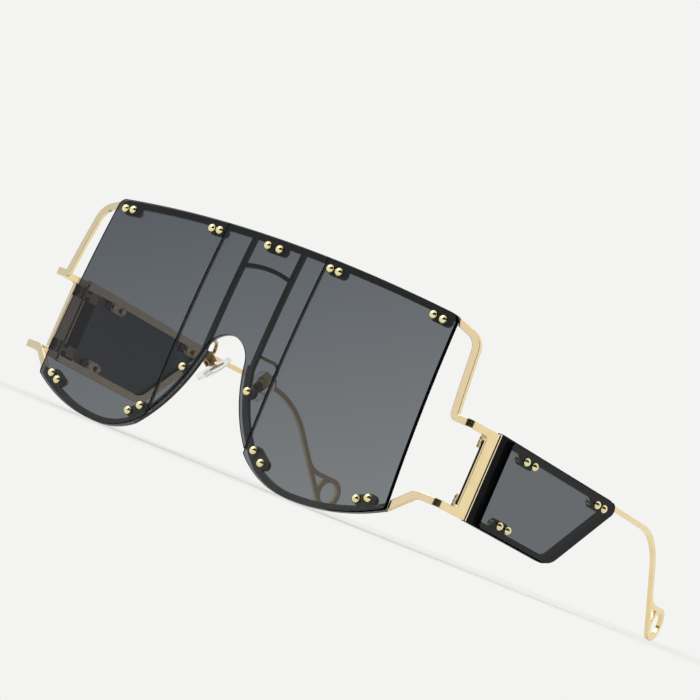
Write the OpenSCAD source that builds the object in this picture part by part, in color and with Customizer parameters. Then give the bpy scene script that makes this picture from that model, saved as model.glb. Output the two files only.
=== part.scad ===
// Oversized shield sunglasses with a three-panel lens, open metal end pieces and ring-tipped temples.
// x runs across the face, y from the front to the back and z up.
// The outlines are drawn level with the lens, then the whole is set down on its rims and rings.

/* [Lens front] */
// Radius of the sphere that the whole front follows
wrap_r = 400; // [250:10:700]
// Height at which the front bulges most
wrap_z = 34; // [28:1:40]
// Height of the lens at the middle
lens_h = 66; // [62:0.5:70]
// Half width of the lens at its lowest level
edge_low = 66.7; // [65:0.1:68]
// Half width of the lens at its highest level
edge_high = 63.8; // [62:0.1:65]
// Radius of the long top edge
top_r = 650; // [450:10:900]
// Radius of the top outer corner
corner_r = 2.5; // [1:0.1:4]
// Radius of the bottom outer corner
low_corner_r = 1.2; // [0.6:0.1:2]
// Thickness of the lens panels
lens_t = 1.5; // [1:0.1:2]
// Distance from the middle to the lowest point of a side
foot_x = 37; // [34:0.5:40]
// Radius of the bottom edge outside the lowest point
foot_out_r = 62; // [58:1:70]
// Radius of the bottom edge inside the lowest point
foot_in_r = 27; // [25:0.5:30]
// Distance from the middle to the seam between two panels
panel_x = 18.8; // [18:0.1:20]
// Width of the seam between two panels
panel_gap = 0.25; // [0.1:0.05:0.5]

/* [Nose cut-out] */
// Height of the top of the cut-out
nose_top = 36.1; // [34:0.1:38]
// Radius of the top of the cut-out
nose_r = 8; // [7:0.1:9]
// Radius of the long flanks
flank_r = 46.3; // [42:0.5:52]
// Angle at which the flanks leave the top radius
flank_turn = 11.7; // [9:0.1:14]

/* [Front frame] */
// Thickness of the front frame
frame_t = 1.4; // [1:0.1:2]
// Gap that the clear glue fills between a lens and its frame
glue_gap = 0.1; // [0.05:0.01:0.2]
// Width of the top bar
top_bar_w = 1.9; // [1.5:0.1:2.5]
// Width of the rims along the nose and the bottom
rim_w = 1.9; // [1.5:0.1:2.5]
// Height at which the nose rims end in the upright bars
rim_end_z = 30; // [28:0.5:32]
// Distance from the middle to an upright bar
bar_x = 9.2; // [8.8:0.1:10]
// Width of an upright bar
bar_w = 1.3; // [1.2:0.1:2]
// Distance from the top of the lens down to the arched crossbar
arch_drop = 8.4; // [6:0.1:12]
// Radius of the arched crossbar
arch_r = 36; // [25:1:60]
// Width of the arched crossbar
arch_w = 1.2; // [0.8:0.1:1.8]
// Radius of the lugs behind the front rivets
lug_r = 1.55; // [1.5:0.05:2]

/* [Front rivets] */
// Distance from the middle to each rivet of the middle pair
rivet_mid_x = 2.2; // [2:0.1:3]
// Distance from the middle to the inner rivet by the seam, at the top
rivet_seam_x = 21; // [20.5:0.1:22]
// Pitch of the two rivets by the seam, at the top
rivet_seam_pitch = 3.1; // [2.9:0.1:4]
// Distance from the middle to the inner rivet of the corner, at the top
rivet_corner_x = 57; // [56:0.1:58]
// Pitch of the two rivets of the corner
rivet_corner_pitch = 3.3; // [2.9:0.1:3.6]
// Distance from the top edge down to the rivets
rivet_drop = 2.85; // [2.6:0.05:3.2]
// Distance from the middle to the inner rivet by the seam, at the bottom
rivet_foot_x = 21.9; // [21.5:0.1:23]
// Pitch of the two rivets by the seam, at the bottom
rivet_foot_pitch = 3.7; // [2.9:0.1:4]
// Distance from the middle to the inner rivet of the corner, at the bottom
rivet_end_x = 57.6; // [56:0.1:59]
// Distance from the bottom edge to the rivets
rivet_inset = 3.3; // [3:0.1:3.5]
// Distance from the middle to the rivet on a nose flank
rivet_nose_x = 12.4; // [12:0.1:13]
// Distance from the flank to its rivet
rivet_nose_inset = 2.5; // [2.4:0.1:3]
// Radius of a rivet's domed head
dome_r = 1.3; // [1.1:0.05:1.4]
// Height of a rivet's domed head
dome_h = 1.05; // [0.8:0.05:1.2]
// Radius of a rivet's shank
shank_r = 0.6; // [0.5:0.05:0.7]
// Clearance of a shank in its holes
shank_clear = 0.05; // [0.03:0.01:0.1]
// Radius of the nut behind each rivet
nut_r = 1.15; // [1.05:0.05:1.3]
// Height of the nut behind each rivet
nut_h = 0.7; // [0.5:0.05:0.9]

/* [End pieces] */
// Width of the flat wire
wire_w = 2.1; // [1.8:0.1:2.4]
// Thickness of the flat wire
wire_t = 1.2; // [1:0.1:1.5]
// Distance from the top of the lens down to where the upper wire leaves its edge
wire_root_drop = 4.8; // [4.2:0.1:6]
// Distance from the middle to the shoulder of the upper wire
shoulder_x = 71.4; // [70.5:0.1:72.5]
// Drop of the upper wire from the lens edge to its shoulder
shoulder_drop = 2.5; // [1.2:0.1:4]
// Radius of the shoulder
shoulder_r = 5.4; // [3:0.1:6]
// Distance from the middle to the knee of the upper wire
knee_x = 73.9; // [73:0.1:74.6]
// Radius of the knee of the upper wire
knee_r = 1.3; // [1.3:0.1:3]
// Radius of the knee of the lower wire
low_knee_r = 3; // [2:0.1:4]
// Height of the upper side arm
arm_top_z = 37.1; // [36:0.1:38.5]
// Height of the lower side arm
arm_low_z = 14.25; // [13.5:0.05:15]
// Height at which the lower wire leaves the lens edge
wire_foot_z = 8.9; // [8.6:0.1:9.6]
// Distance from the middle to the knee of the lower wire
low_knee_x = 72.4; // [71:0.1:73.2]
// Half width over the side arms
side_x = 79.5; // [78.5:0.1:81]
// Outer radius of the bends where the arms turn back
bend_r = 2.1; // [1.8:0.1:2.6]
// Distance from the lens front to the front of the hinge band
band_y = 19; // [17:0.5:20]
// Length of the hinge band
band_l = 5.2; // [4.6:0.1:5.6]
// Radius of the inside corners of the band
band_corner_r = 0.8; // [0.4:0.1:1.5]

/* [Hinges] */
// Distance from the band's inner face to the hinge axis
axis_in = 1.6; // [1.55:0.05:2]
// Distance from the band's rear edge forward to the hinge axis
axis_fore = 2.7; // [2.5:0.1:3]
// Radius of the knuckles
knuckle_r = 1.15; // [1.1:0.05:1.3]
// Height of one knuckle
knuckle_h = 1; // [0.9:0.1:1.5]
// Gap between two knuckles
knuckle_gap = 0.1; // [0.08:0.01:0.2]
// Height of the upper hinge
hinge_top_z = 34.3; // [32:0.1:34.5]
// Height of the lower hinge
hinge_low_z = 17; // [16.8:0.1:19]
// Radius of the hinge screw
pin_r = 0.5; // [0.4:0.05:0.6]
// Clearance of the hinge screw in the knuckles
pin_clear = 0.05; // [0.03:0.01:0.08]
// Radius of the hinge screw's head
pin_head_r = 0.9; // [0.75:0.05:1.1]
// Height of the hinge screw's head
pin_head_h = 0.5; // [0.35:0.05:0.7]
// Thickness of the temple's hinge leaf
leaf_t = 0.8; // [0.6:0.1:1]
// Length of the leaf's foot on the temple
leaf_l = 4; // [3:0.1:5]

/* [Temple panels] */
// Gap between the hinge band and the temple
seam = 0.3; // [0.25:0.05:0.5]
// Outward turn of the temples
splay = 0.8; // [0:0.1:2]
// Height of the temple's top edge at its front
temple_top_z = 38.7; // [38:0.1:39.5]
// Height of the temple's top edge at its rear corner
temple_rear_z = 37; // [36:0.1:38]
// Height of the temple's bottom edge at its front
temple_low_z = 13.1; // [12:0.1:14]
// Height of the temple's bottom edge at its rear corner
temple_heel_z = 12.3; // [11.5:0.1:13]
// Distance from the lens front to the rear corner at the top
temple_rear_y = 90.6; // [85:0.2:96]
// Distance from the lens front to the rear corner at the bottom
temple_heel_y = 67.8; // [64:0.2:72]
// Radius of the top rear corner
rear_corner_r = 2.5; // [1.5:0.1:4]
// Radius of the bottom rear corner
heel_r = 8; // [6:0.5:10]
// Radius of the front corners
front_corner_r = 0.8; // [0.4:0.1:1.5]
// Thickness of the temple frame
temple_t = 1.5; // [1.2:0.1:1.8]
// Width of the temple frame's top bar
temple_top_w = 2.3; // [2.1:0.1:2.6]
// Width of the temple frame's rear bar
temple_rear_w = 2.6; // [2.2:0.1:3.2]
// Width of the temple frame's bottom bar
temple_low_w = 2.1; // [2:0.1:2.4]
// Width of the temple frame's front bar
temple_front_w = 6; // [5.6:0.1:8]
// Radius of the window's corners
window_r = 1.5; // [0.8:0.1:2.4]
// Distance from the temple's front edge to the side lens
side_lens_y = 5.2; // [4.5:0.1:5.4]
// Distance from the temple's edges to the side lens
side_lens_inset = 0.4; // [0.2:0.05:0.6]
// Thickness of the side lens
side_lens_t = 1.2; // [0.8:0.1:1.6]
// Distance from the temple's front edge to the first front rivet
side_rivet_y = 13.9; // [13:0.1:16]
// Pitch of the two front rivets of a row
side_rivet_pitch = 4.3; // [3.4:0.1:5]
// Distance from the temple's front edge to the first rear rivet
rear_rivet_y = 53.4; // [50:0.1:54]
// Pitch of the two rear rivets
rear_rivet_pitch = 3.7; // [3.4:0.1:3.8]
// Distance from the top or bottom edge to the side rivets
side_rivet_inset = 3.3; // [3.2:0.05:3.4]
// Radius of the lugs behind the side rivets
side_lug_r = 1.5; // [1.45:0.05:1.8]

/* [Temple bars] */
// Inward turn of the temple bars
bar_turn = 12.3; // [8:0.1:15]
// Height of a temple bar
rod_w = 1.5; // [1.2:0.1:1.5]
// Thickness of a temple bar
rod_t = 1.2; // [1:0.1:1.5]
// Height of the level part of a temple bar
rod_z = 35.6; // [35.3:0.1:36]
// Distance along the bar to the bend behind the ear
drop_a = 38.9; // [34:0.1:44]
// Radius of the bend behind the ear
drop_r = 29; // [20:0.5:32]
// Slope of the part behind the ear
drop_turn = 45; // [42:0.5:48]
// Height at which the upper branch turns level
fork_z = 17.1; // [16.9:0.05:17.4]
// Radius of the upper branch
fork_r = 9; // [7:0.5:11]
// Outer radius of the ring
ring_r = 5.1; // [5.05:0.05:5.4]
// Radius of the hole in the ring
ring_hole_r = 3.5; // [3.3:0.05:3.5]

/* [Nose pads] */
// Distance from the middle to a pad arm's root
pad_root_x = 9.4; // [9.1:0.1:9.6]
// Height of a pad arm's root
pad_root_z = 33.5; // [33:0.1:35]
// Radius of the pad arm's wire
pad_wire_r = 0.5; // [0.4:0.05:0.6]
// Length of the pad arm's straight part
pad_wire_l = 5; // [4.9:0.1:6]
// Outward turn of the pad arm
pad_arm_turn = 20; // [10:1:26]
// Radius of the pad arm's loop
pad_loop_r = 2.2; // [1.9:0.1:2.4]
// Gap that the solder fills between the frame and a pad arm
pad_root_gap = 0.35; // [0.3:0.05:0.4]
// Distance from the pad screw to the arm's end, away from the pad
pad_seat = 1.7; // [1.6:0.05:1.9]
// Depth to which the arm's end reaches into the box
pad_bite = 0.6; // [0.5:0.05:0.7]
// Turn of a pad from facing sideways to facing back
pad_turn = 50; // [44:1:54]
// Lean of a pad, wider at the bottom
pad_lean = 10; // [6:1:16]
// Lean of a pad's top towards the wearer
pad_pitch = 38; // [30:1:40]
// Distance from the pad screw down to the middle of the pad
pad_drop = 0.1; // [0.05:0.05:0.4]
// Length of a pad
pad_l = 11.5; // [10.5:0.1:12.5]
// Width of a pad
pad_w = 6.4; // [6:0.1:7.5]
// Thickness of a pad
pad_t = 2.2; // [2:0.1:2.6]
// Radius of a pad's face
pad_face_r = 16; // [12:0.5:24]
// Size of the pad box
pad_box = 2.6; // [2.4:0.1:2.8]
// Width of the slot in the pad box
pad_slot = 1.2; // [1:0.1:1.4]
// Play of the insert's tab in the slot
pad_play = 0.1; // [0.06:0.01:0.15]
// Radius of the pad screw
pad_pin_r = 0.35; // [0.3:0.05:0.4]
// Clearance of the pad screw in the tab
pad_pin_clear = 0.04; // [0.03:0.01:0.06]
// Length of the plate moulded into a pad
insert_l = 5; // [4:0.1:6]
// Width of the plate moulded into a pad
insert_w = 3; // [2.4:0.1:3.6]
// Thickness of the plate moulded into a pad
insert_t = 0.5; // [0.4:0.05:0.6]

/* [Hidden] */

// Smoothness of small rounds and of the long curves
fine = 48;
long_fine = 360;
// Length by which a cutting shape runs past what it cuts
over = 1;
// Overlap and skin that tie two parts of one piece together
lap = 0.2;
skin = 0.03;
// Hair by which two arcs cross where they would only touch
cross = 0.01;

// Depths behind the lens front
frame_in = lens_t + glue_gap;
frame_out = frame_in + frame_t;
wire_out = frame_in + wire_t;
// Depth that holds the whole front
front_depth = 4 * bend_r + band_y;

// Nose and flank circles
nose_z = nose_top - nose_r;
flank_x = (nose_r + flank_r - cross) * cos(flank_turn);
flank_z = nose_z + (nose_r + flank_r - cross) * sin(flank_turn);
// Lean of the outer edge
edge_lean = (edge_low - edge_high) / lens_h;
edge_turn = atan(edge_lean);

function edge_x(z) = edge_low - z * edge_lean;
function top_z(x) = lens_h - top_r + sqrt(top_r * top_r - x * x);
function arc_z(cx, cz, r, x) = cz - sqrt(r * r - (x - cx) * (x - cx));
function unit(a) = [cos(a), sin(a)];

// Centres of the outer corners, found by closing in on the two edges
function top_corner(z, n) = let (x = edge_x(z) - corner_r / cos(edge_turn))
    n == 0 ? [x, z] : top_corner(lens_h - top_r + sqrt(pow(top_r - corner_r, 2) - x * x), n - 1);
function low_corner(z, n) = let (x = edge_x(z) - low_corner_r / cos(edge_turn))
    n == 0 ? [x, z] : low_corner(arc_z(foot_x, foot_out_r, foot_out_r - low_corner_r, x), n - 1);
corner_c = top_corner(lens_h - corner_r, 5);
low_corner_c = low_corner(low_corner_r, 5);

// Rivet places as [x, z]
seam_x2 = rivet_seam_x + rivet_seam_pitch;
corner_x2 = rivet_corner_x + rivet_corner_pitch;
foot_x2 = rivet_foot_x + rivet_foot_pitch;
end_x2 = rivet_end_x + rivet_corner_pitch;
function on_half(s, p) = [s * p[0], p[1]];
function at_top(x) = [x, top_z(x) - rivet_drop];
function at_foot(x) = [x, arc_z(foot_x, foot_in_r, foot_in_r - rivet_inset, x)];
function at_end(x) = [x, arc_z(foot_x, foot_out_r, foot_out_r - rivet_inset, x)];
nose_rivet = [rivet_nose_x, arc_z(flank_x, flank_z, flank_r - rivet_nose_inset, rivet_nose_x)];
rivet_rows = [
    [at_top(rivet_seam_x), at_top(seam_x2)],
    [at_top(rivet_corner_x), at_top(corner_x2)],
    [at_foot(rivet_foot_x), at_foot(foot_x2)],
    [at_end(rivet_end_x), at_end(end_x2)]
];
side_spots = [for (row = rivet_rows) each row, nose_rivet];
front_spots = [
    for (s = [-1, 1]) each [for (p = side_spots) [s * p[0], p[1]]],
    for (s = [-1, 1]) [s * rivet_mid_x, top_z(rivet_mid_x) - rivet_drop]
];

// Front surface of the flat wire, as a distance from the lens front
wire_sphere = wrap_r - frame_in;
function wire_y(x, z) = wrap_r - sqrt(pow(wire_sphere, 2) - x * x - pow(z - wrap_z, 2));
bend_x = (side_x - bend_r) / (1 - bend_r / wire_sphere);
bend_turn = asin(bend_x / wire_sphere);
function bend_y(z) = wire_y(bend_x, z) + bend_r * cos(bend_turn);

// Hinge axis
inner_x = side_x - wire_t;
band_end = band_y + band_l;
axis_x = inner_x - axis_in;
axis_y = band_end - axis_fore;
stack_h = 3 * knuckle_h + 2 * knuckle_gap;
hinge_heights = [hinge_top_z, hinge_low_z];

// Temple outline as [y, z], each side moved in by its own amount
temple_y = band_end + seam;
top_dir = atan2(temple_rear_z - temple_top_z, temple_rear_y - temple_y);
low_dir = atan2(temple_heel_z - temple_low_z, temple_heel_y - temple_y);
rear_dir = atan2(temple_rear_z - temple_heel_z, temple_rear_y - temple_heel_y);
function meet(p, a, q, b) =
    let (k = ((q[0] - p[0]) * sin(b) - (q[1] - p[1]) * cos(b)) / sin(b - a)) p + k * unit(a);
function shift_line(p, a, d) = p + d * unit(a + 90);
function temple_pts(front, top, rear, low) = let (
    t = shift_line([temple_rear_y, temple_rear_z], top_dir, -top),
    r = shift_line([temple_rear_y, temple_rear_z], rear_dir, rear),
    l = shift_line([temple_heel_y, temple_heel_z], low_dir, low),
    f = [temple_y + front, temple_low_z]
) [
    meet(l, low_dir, f, 90), meet(l, low_dir, r, rear_dir),
    meet(t, top_dir, r, rear_dir), meet(t, top_dir, f, 90)
];

// Side rivet places as [y, z]
function on_line(p, a, y) = p[1] + (y - p[0]) * tan(a);
side_top_z = function (y) on_line([temple_rear_y, temple_rear_z], top_dir, y) - side_rivet_inset;
side_low_z = function (y) on_line([temple_heel_y, temple_heel_z], low_dir, y) + side_rivet_inset;
side_y1 = temple_y + side_rivet_y;
side_y2 = side_y1 + side_rivet_pitch;
side_y3 = temple_y + rear_rivet_y;
side_y4 = side_y3 + rear_rivet_pitch;
side_rows = [
    [[side_y1, side_top_z(side_y1)], [side_y2, side_top_z(side_y2)]],
    [[side_y3, side_top_z(side_y3)], [side_y4, side_top_z(side_y4)]],
    [[side_y1, side_low_z(side_y1)], [side_y2, side_low_z(side_y2)]]
];
side_rivet_spots = [for (row = side_rows) each row];

// Temple bar, in its own upright plane as [a, z]
rod_y = meet([temple_rear_y, temple_rear_z], rear_dir, [temple_heel_y, rod_z], 0)[0];
rod_x = side_x - temple_t / 2;
ring_mid_r = (ring_r + ring_hole_r) / 2;
ring_z = fork_z - ring_mid_r;
// The sloping line touches the ring on the circle halfway through its wire
ring_a = drop_a + (rod_z - ring_z + ring_mid_r / cos(drop_turn)) / tan(drop_turn);
drop_end = [ring_a, ring_z] - ring_mid_r * unit(90 - drop_turn);
fork_a = drop_a + (rod_z - fork_z) / tan(drop_turn);
fork_back = fork_r / cos(drop_turn);

// Nose pad pivot, placed so that the arm's end reaches into the box
function about_x(a) = [[1, 0, 0], [0, cos(a), -sin(a)], [0, sin(a), cos(a)]];
function about_y(a) = [[cos(a), 0, sin(a)], [0, 1, 0], [-sin(a), 0, cos(a)]];
function about_z(a) = [[cos(a), -sin(a), 0], [sin(a), cos(a), 0], [0, 0, 1]];
pad_level = [[0, 0, 1], [1, 0, 0], [0, 1, 0]];
pad_axes = about_x(-pad_pitch) * about_z(180 - pad_turn) * about_y(pad_lean) * pad_level;
pad_root_y = wire_y(pad_root_x, pad_root_z) + frame_t;
pad_wire_end = [
    pad_root_x + pad_wire_l * sin(pad_arm_turn),
    pad_root_y + pad_wire_l * cos(pad_arm_turn),
    pad_root_z - 2 * pad_loop_r
];
pad_pivot = pad_wire_end - pad_axes * [0, pad_box / 2 - pad_bite, -pad_seat];
tab_end_r = pad_slot / 2 + pad_play;

// The whole stands on its bottom rims and its rings
rim_y = wire_y(foot_x, 0) + frame_t;
ring_y = rod_y + ring_a * cos(bar_turn);
stance = atan((ring_z - ring_r) / (ring_y - rim_y));
lift = rim_y * sin(stance);
front_y = wrap_r - sqrt(pow(wrap_r + dome_h, 2) - pow(nose_rivet[0], 2) - pow(nose_rivet[1] - wrap_z, 2));
front_end = front_y * cos(stance) + nose_rivet[1] * sin(stance);
rear_end = (ring_y + ring_r * cos(bar_turn)) * cos(stance) + ring_z * sin(stance);

black = "#1b1b1d";
gold = "#e2cf9a";
grey = [0.3, 0.32, 0.35, 0.75];
clear = [0.85, 0.88, 0.9, 0.6];

// Placing

module standing() {
    translate([0, -(front_end + rear_end) / 2, lift]) rotate([-stance, 0, 0]) children();
}

module sided(s) {
    standing() mirror([s < 0 ? 1 : 0, 0, 0]) children();
}

// Temple pieces turn outward about the hinge axis
module on_temple(s) {
    sided(s) translate([axis_x, axis_y, 0]) rotate(-splay) translate([-axis_x, -axis_y, 0]) children();
}

// Local z points out of the front surface at [x, z]
module on_front(p) {
    up = asin((p[1] - wrap_z) / wrap_r);
    across = asin(p[0] / (wrap_r * cos(up)));
    translate([0, wrap_r, wrap_z]) rotate(across) rotate([90 - up, 0, 0]) translate([0, 0, wrap_r])
        children();
}

// Local z points out of the temple's outer face at [y, z]
module on_side(p) {
    translate([side_x, p[0], p[1]]) rotate([0, 90, 0]) children();
}

// Flat shapes

module ring2d(out_r, in_r, n) {
    difference() {
        circle(r = out_r, $fn = n);
        circle(r = in_r, $fn = n);
    }
}

// Straight strip from p to q
module strip2d(p, q, w) {
    d = q - p;
    translate(p) rotate(atan2(d[1], d[0])) translate([0, -w / 2]) square([norm(d), w]);
}

// Round elbow of a strip at corner p, entered along angle a and left along angle b
module elbow2d(p, a, b, r, w) {
    turn = b - a;
    side = sign(turn);
    back = r * tan(abs(turn) / 2);
    start = p - back * unit(a);
    finish = p + back * unit(b);
    mid = start + side * r * unit(a + 90);
    reach = (r + w) / r;
    intersection() {
        translate(mid) ring2d(r + w / 2, r - w / 2, fine);
        polygon([
            mid, mid + reach * (start - mid), mid + 2 * reach * (p - mid), mid + reach * (finish - mid)
        ]);
    }
}

// Strip along a path, with an elbow at each inner point
module path2d(pts, radii, w) {
    n = len(pts);
    turns = [for (i = [0 : n - 2]) let (d = pts[i + 1] - pts[i]) atan2(d[1], d[0])];
    function back(i) = i == 0 || i == n - 1 ? 0 : radii[i - 1] * tan(abs(turns[i] - turns[i - 1]) / 2) - lap;
    for (i = [0 : n - 2])
        strip2d(pts[i] + back(i) * unit(turns[i]), pts[i + 1] - back(i + 1) * unit(turns[i]), w - 2 * cross);
    for (i = [1 : n - 2]) elbow2d(pts[i], turns[i - 1], turns[i], radii[i - 1], w);
}

// Convex polygon with its corners rounded
module rounded2d(pts, radii) {
    n = len(pts);
    ends = [for (i = [0 : n - 1]) let (
        p = pts[i],
        u = pts[(i + n - 1) % n] - p,
        v = pts[(i + 1) % n] - p,
        half = acos((u * v) / (norm(u) * norm(v))) / 2,
        back = radii[i] / tan(half),
        way = u / norm(u) + v / norm(v)
    ) [p + back * u / norm(u), p + back * v / norm(v), p + radii[i] / sin(half) * way / norm(way)]];
    polygon([for (e = ends) each [e[0], e[1]]]);
    for (i = [0 : n - 1]) translate(ends[i][2]) circle(r = radii[i], $fn = fine);
}

// Bit outside a rounded corner, to cut away
module corner_cut2d(c, a, b, r) {
    mid = c - cross * (unit(a) + unit(b));
    translate(mid) difference() {
        polygon([[0, 0], 2 * r * unit(a), 2 * r * (unit(a) + unit(b)), 2 * r * unit(b)]);
        circle(r = r, $fn = fine);
    }
}

// Outline of the front, moved in by top and low; the flank line runs on as far as reach
module front2d(top, low, reach) {
    difference() {
        intersection() {
            translate([0, lens_h - top_r]) circle(r = top_r - top, $fn = long_fine);
            polygon([
                [-edge_x(-over), -over], [edge_x(-over), -over], [edge_high, lens_h], [-edge_high, lens_h]
            ]);
        }
        translate([0, nose_z]) circle(r = nose_r + low, $fn = fine);
        flank_cut2d(low, reach);
        mirror([1, 0]) flank_cut2d(low, reach);
        foot_in_cut2d(low);
        mirror([1, 0]) foot_in_cut2d(low);
        foot_out_cut2d(low);
        mirror([1, 0]) foot_out_cut2d(low);
        top_corner_cut2d();
        mirror([1, 0]) top_corner_cut2d();
        low_corner_cut2d();
        mirror([1, 0]) low_corner_cut2d();
    }
}

module flank_cut2d(low, reach) {
    meet_z = nose_z + (nose_r + low) * sin(flank_turn);
    difference() {
        translate([-over, -2 * over]) square([reach + over, meet_z + 2 * over]);
        translate([flank_x, flank_z]) circle(r = flank_r - low, $fn = long_fine);
    }
}

module foot_in_cut2d(low) {
    difference() {
        translate([panel_x, -2 * over]) square([foot_x - panel_x, foot_in_r + 2 * over]);
        translate([foot_x, foot_in_r]) circle(r = foot_in_r - low, $fn = long_fine);
    }
}

module foot_out_cut2d(low) {
    difference() {
        translate([foot_x, -2 * over]) square([edge_low - foot_x + over, foot_out_r / 2]);
        translate([foot_x, foot_out_r]) circle(r = foot_out_r - low, $fn = long_fine);
    }
}

module top_corner_cut2d() {
    corner_cut2d(corner_c, edge_turn, atan2(corner_c[1] - lens_h + top_r, corner_c[0]), corner_r);
}

module low_corner_cut2d() {
    foot_dir = atan2(low_corner_c[1] - foot_out_r, low_corner_c[0] - foot_x);
    corner_cut2d(low_corner_c, edge_turn, foot_dir, low_corner_r);
}

// Spherical layers

// Keeps what lies between two depths behind the front surface
module in_layer(from, to) {
    difference() {
        intersection() {
            wrap_ball(wrap_r - from);
            translate([0, front_depth, 0]) rotate([90, 0, 0]) linear_extrude(front_depth + over) children();
        }
        wrap_ball(wrap_r - to);
    }
}

module wrap_ball(r) {
    translate([0, wrap_r, wrap_z]) sphere(r = r, $fn = long_fine);
}

module shank_holes(spots) {
    reach = frame_out + 2 * over;
    for (p = spots) on_front(p) translate([0, 0, -reach + over])
        cylinder(r = shank_r + shank_clear, h = reach, $fn = fine);
}

module dome(r, h) {
    ball = (r * r + h * h) / (2 * h);
    intersection() {
        translate([0, 0, h - ball]) sphere(r = ball, $fn = fine);
        cylinder(r = 2 * r, h = 2 * h, $fn = fine);
    }
}

// Head on top of z = 0 and shank going down
module rivet(depth) {
    dome(dome_r, dome_h);
    translate([0, 0, -depth]) cylinder(r = shank_r, h = depth + dome_h / 2, $fn = fine);
}

// Nut below z = -depth
module nut(depth) {
    translate([0, 0, -depth - nut_h]) difference() {
        cylinder(r = nut_r, h = nut_h, $fn = 6);
        translate([0, 0, -over]) cylinder(r = shank_r + shank_clear, h = nut_h + 2 * over, $fn = fine);
    }
}

// Lens panels

module lens_center() {
    half = panel_x - panel_gap / 2;
    color(grey) standing() difference() {
        in_layer(0, lens_t) intersection() {
            front2d(0, 0, panel_x);
            translate([-half, -over]) square([2 * half, lens_h + 2 * over]);
        }
        shank_holes(front_spots);
    }
}

module side_panel(s) {
    start = panel_x + panel_gap / 2;
    color(grey) sided(s) difference() {
        in_layer(0, lens_t) intersection() {
            front2d(0, 0, panel_x);
            translate([start, -over]) square([edge_low, lens_h + 2 * over]);
        }
        shank_holes(side_spots);
    }
}
module lens_left() { side_panel(-1); }
module lens_right() { side_panel(1); }

// Front frame

module frame2d() {
    difference() {
        front2d(0, 0, foot_x);
        front2d(top_bar_w, 0, foot_x);
    }
    difference() {
        front2d(0, 0, foot_x);
        front2d(0, rim_w, foot_x);
        translate([-edge_low, rim_end_z]) square([2 * edge_low, lens_h]);
    }
    for (s = [-1, 1]) {
        translate([s * bar_x - bar_w / 2, rim_end_z - rim_w]) square([bar_w, lens_h - rim_end_z]);
        for (row = rivet_rows) {
            lug2d(on_half(s, row[0]), on_half(s, row[1]), lug_r);
        }
        translate([s * nose_rivet[0], nose_rivet[1]]) circle(r = lug_r, $fn = fine);
    }
    for (s = [-1, 1]) {
        lug_foot2d(on_half(s, at_foot(rivet_foot_x)), on_half(s, at_foot(foot_x2)), [s * foot_x, foot_in_r]);
        lug_foot2d(on_half(s, at_end(rivet_end_x)), on_half(s, at_end(end_x2)), [s * foot_x, foot_out_r]);
    }
    mid = at_top(rivet_mid_x);
    lug2d([-mid[0], mid[1]], mid, lug_r);
    intersection() {
        translate([0, lens_h - arch_drop - arch_r]) ring2d(arch_r, arch_r - arch_w, long_fine);
        translate([-bar_x, lens_h - arch_drop - arch_r / 2]) square([2 * bar_x, arch_r]);
    }
}

module lug2d(p, q, r) {
    translate(p) circle(r = r, $fn = fine);
    translate(q) circle(r = r, $fn = fine);
    strip2d(p, q, 2 * (r - cross));
}

// Ties a pair of lugs to the rim, away from the centre of the rim's arc
module lug_foot2d(p, q, centre) {
    out = rivet_inset - rim_w / 2;
    near_p = p + lap * (q - p) / norm(q - p);
    near_q = q + lap * (p - q) / norm(q - p);
    far_p = near_p + out * (p - centre) / norm(p - centre);
    far_q = near_q + out * (q - centre) / norm(q - centre);
    polygon([near_p, far_p, far_q, near_q]);
}

module front_frame() {
    color(black) standing() difference() {
        in_layer(frame_in, frame_out) frame2d();
        shank_holes(front_spots);
    }
}

// Front rivets and their nuts

module front_rivets() {
    color(gold) standing() for (p = front_spots) on_front(p) rivet(frame_out + nut_h);
}

module front_rivet_nuts() {
    color(gold) standing() for (p = front_spots) on_front(p) nut(frame_out);
}

// End pieces: a flat wire in the plane of the front that turns back into two arms and a band

module end_wire2d() {
    root_z = lens_h - wire_root_drop;
    root = [edge_x(root_z) - wire_w, root_z + wire_w / 2];
    shoulder = [shoulder_x, root_z - shoulder_drop];
    knee = [knee_x, arm_top_z];
    low_root = [edge_x(wire_foot_z) - wire_w, wire_foot_z - wire_w];
    low_knee = [low_knee_x, arm_low_z];
    difference() {
        union() {
            path2d([root, shoulder, knee, [bend_x + lap, arm_top_z]], [shoulder_r, knee_r], wire_w);
            path2d([low_root, low_knee, [bend_x + lap, arm_low_z]], [low_knee_r], wire_w);
        }
        polygon([
            [0, -lens_h], [edge_x(-lens_h) + skin, -lens_h],
            [edge_x(2 * lens_h) + skin, 2 * lens_h], [0, 2 * lens_h]
        ]);
    }
}

// Bend from the front surface into the side arm, at height z
module arm_bend(z) {
    centre = [side_x - bend_r, bend_y(z)];
    out_r = bend_r + skin;
    in_r = bend_r - wire_t - skin;
    translate([0, 0, z - wire_w / 2 - skin]) linear_extrude(wire_w + 2 * skin) intersection() {
        translate(centre) ring2d(out_r, in_r, fine);
        translate(centre) polygon([
            [0, 0], 2 * out_r * unit(bend_turn - 90), 2 * out_r * unit(-45), [2 * out_r, 0]
        ]);
    }
}

module end_piece(s) {
    color(gold) sided(s) {
        in_layer(frame_in, wire_out) end_wire2d();
        for (z = [arm_top_z, arm_low_z]) arm_bend(z);
        translate([inner_x, 0, 0]) rotate([90, 0, 90]) linear_extrude(wire_t) band2d();
    }
}

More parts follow.
